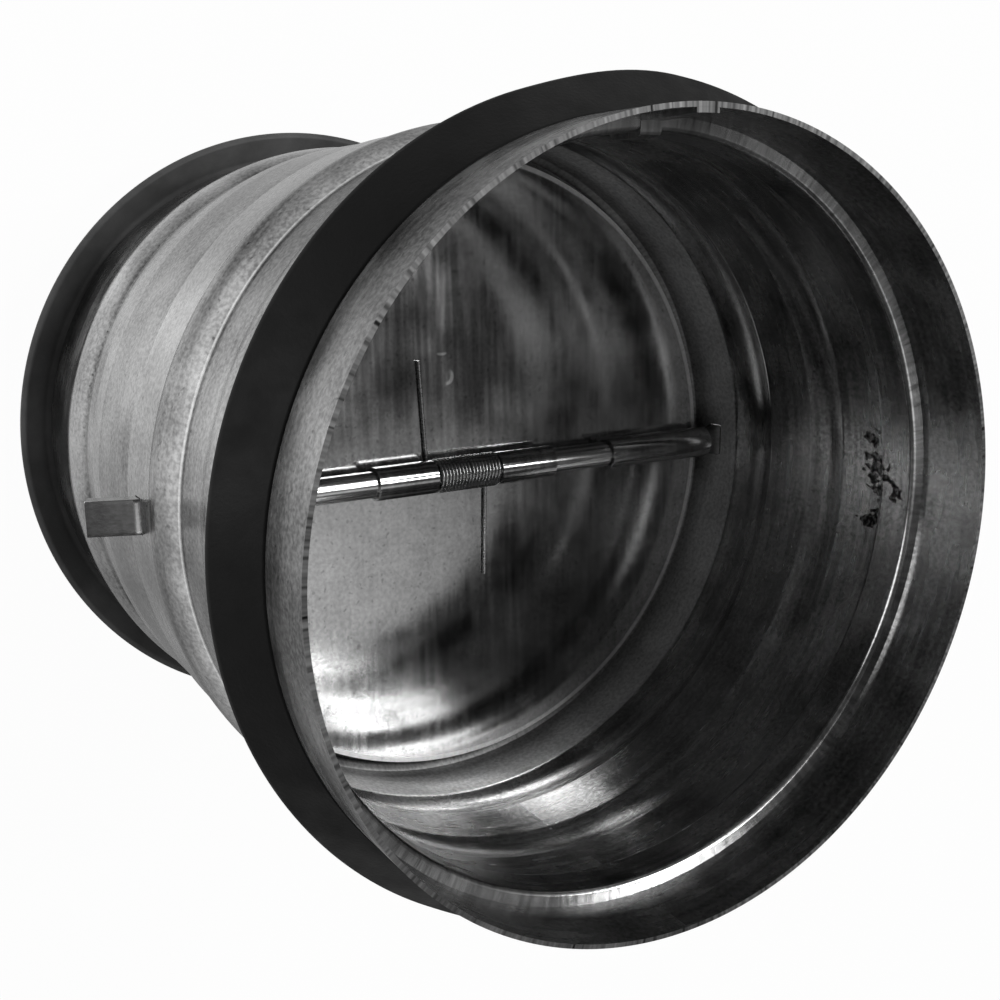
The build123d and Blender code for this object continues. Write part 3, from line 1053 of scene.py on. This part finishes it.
def stage_sheet(name, half, depth, at, material):
    """A flat sheet of the stage, this wide on each side of its middle."""
    bm = bmesh.new()
    bmesh.ops.create_grid(bm, x_segments=1, y_segments=1, size=half)
    bmesh.ops.scale(bm, vec=(1, depth, 1), verts=bm.verts)
    bmesh.ops.translate(bm, vec=at, verts=bm.verts)
    mesh = bpy.data.meshes.new(name)
    bm.to_mesh(mesh)
    bm.free()
    mesh.materials.append(material)
    sheet = bpy.data.objects.new(name, mesh)
    bpy.context.scene.collection.objects.link(sheet)


def dim_room(level):
    """A room that is this bright to the object and white to the eye."""
    world = bpy.data.worlds.new("room")
    bpy.context.scene.world = world
    world.use_nodes = True
    nodes = world.node_tree.nodes
    links = world.node_tree.links
    path = nodes.new("ShaderNodeLightPath")
    seen = nodes.new("ShaderNodeMix")
    seen.inputs["A"].default_value = level
    seen.inputs["B"].default_value = 1
    links.new(path.outputs["Is Camera Ray"], seen.inputs["Factor"])
    links.new(seen.outputs["Result"], nodes["Background"].inputs["Strength"])
    nodes["Background"].inputs["Color"].default_value = (1, 1, 1, 1)


def place_camera(s):
    """The camera at the photo's viewing angle."""
    camera = bpy.data.cameras.new("camera")
    camera.sensor_width = 36
    camera.lens = s.lens
    camera.shift_x = s.shift_x
    camera.clip_start = MM
    holder = bpy.data.objects.new("camera", camera)
    right = Vector(s.camera_right).normalized()
    back = Vector(s.camera_back).normalized()
    turned = Matrix((right, back.cross(right), back)).transposed().to_4x4()
    holder.matrix_world = Matrix.Translation(Vector(s.camera_place)) @ turned
    bpy.context.scene.collection.objects.link(holder)
    bpy.context.scene.camera = holder


class DAMPER_OT_stage(bpy.types.Operator):
    """Sets the floor, lamps, room and camera"""
    bl_idname = "damper.stage"
    bl_label = "Stage"

    def execute(self, context):
        s = settings().stage
        context.scene.view_settings.view_transform = "Standard"
        stage_sheet("floor", s.floor_size, 1, (0, 0, 0), floor_paper())
        middle = (0, 0, CASING_HIGH.z * 0.6)
        for name, (at, size, brightness) in LAMPS.items():
            soft_box(name, at, size, brightness, middle)
        stage_sheet("card", s.card_half, s.card_depth, s.card_place, card_glow())
        dim_room(s.world_level)
        place_camera(s)
        return {"FINISHED"}


class DamperSettings(bpy.types.PropertyGroup):
    casing: PointerProperty(type=CasingSizes)
    seal: PointerProperty(type=SealSizes)
    hinge: PointerProperty(type=HingeSizes)
    spring: PointerProperty(type=SpringSizes)
    strap: PointerProperty(type=StrapSizes)
    finishes: PointerProperty(type=Finishes)
    stage: PointerProperty(type=StageSettings)


class DAMPER_PT_panel(bpy.types.Panel):
    """Lists the damper's pieces"""
    bl_idname = "DAMPER_PT_panel"
    bl_label = "Backdraft damper"
    bl_space_type = "VIEW_3D"
    bl_region_type = "UI"
    bl_category = "Damper"

    def draw(self, context):
        for operator in OPERATORS:
            self.layout.operator(operator.bl_idname)


OPERATORS = (DAMPER_OT_casing, DAMPER_OT_seals, DAMPER_OT_hinge_pin, DAMPER_OT_blades, DAMPER_OT_spring,
             DAMPER_OT_strap, DAMPER_OT_stage)
GROUPS = (CasingSizes, SealSizes, HingeSizes, SpringSizes, StrapSizes, Finishes, StageSettings,
          DamperSettings)


def register():
    for item in GROUPS + OPERATORS + (DAMPER_PT_panel,):
        bpy.utils.register_class(item)
    bpy.types.Scene.damper = PointerProperty(type=DamperSettings)


def unregister():
    del bpy.types.Scene.damper
    for item in reversed(GROUPS + OPERATORS + (DAMPER_PT_panel,)):
        bpy.utils.unregister_class(item)


def main():
    register()
    bpy.ops.damper.casing()
    bpy.ops.damper.seals()
    bpy.ops.damper.hinge_pin()
    bpy.ops.damper.blades()
    bpy.ops.damper.spring()
    bpy.ops.damper.strap()
    bpy.ops.damper.stage()


if __name__ == "__main__":
    main()
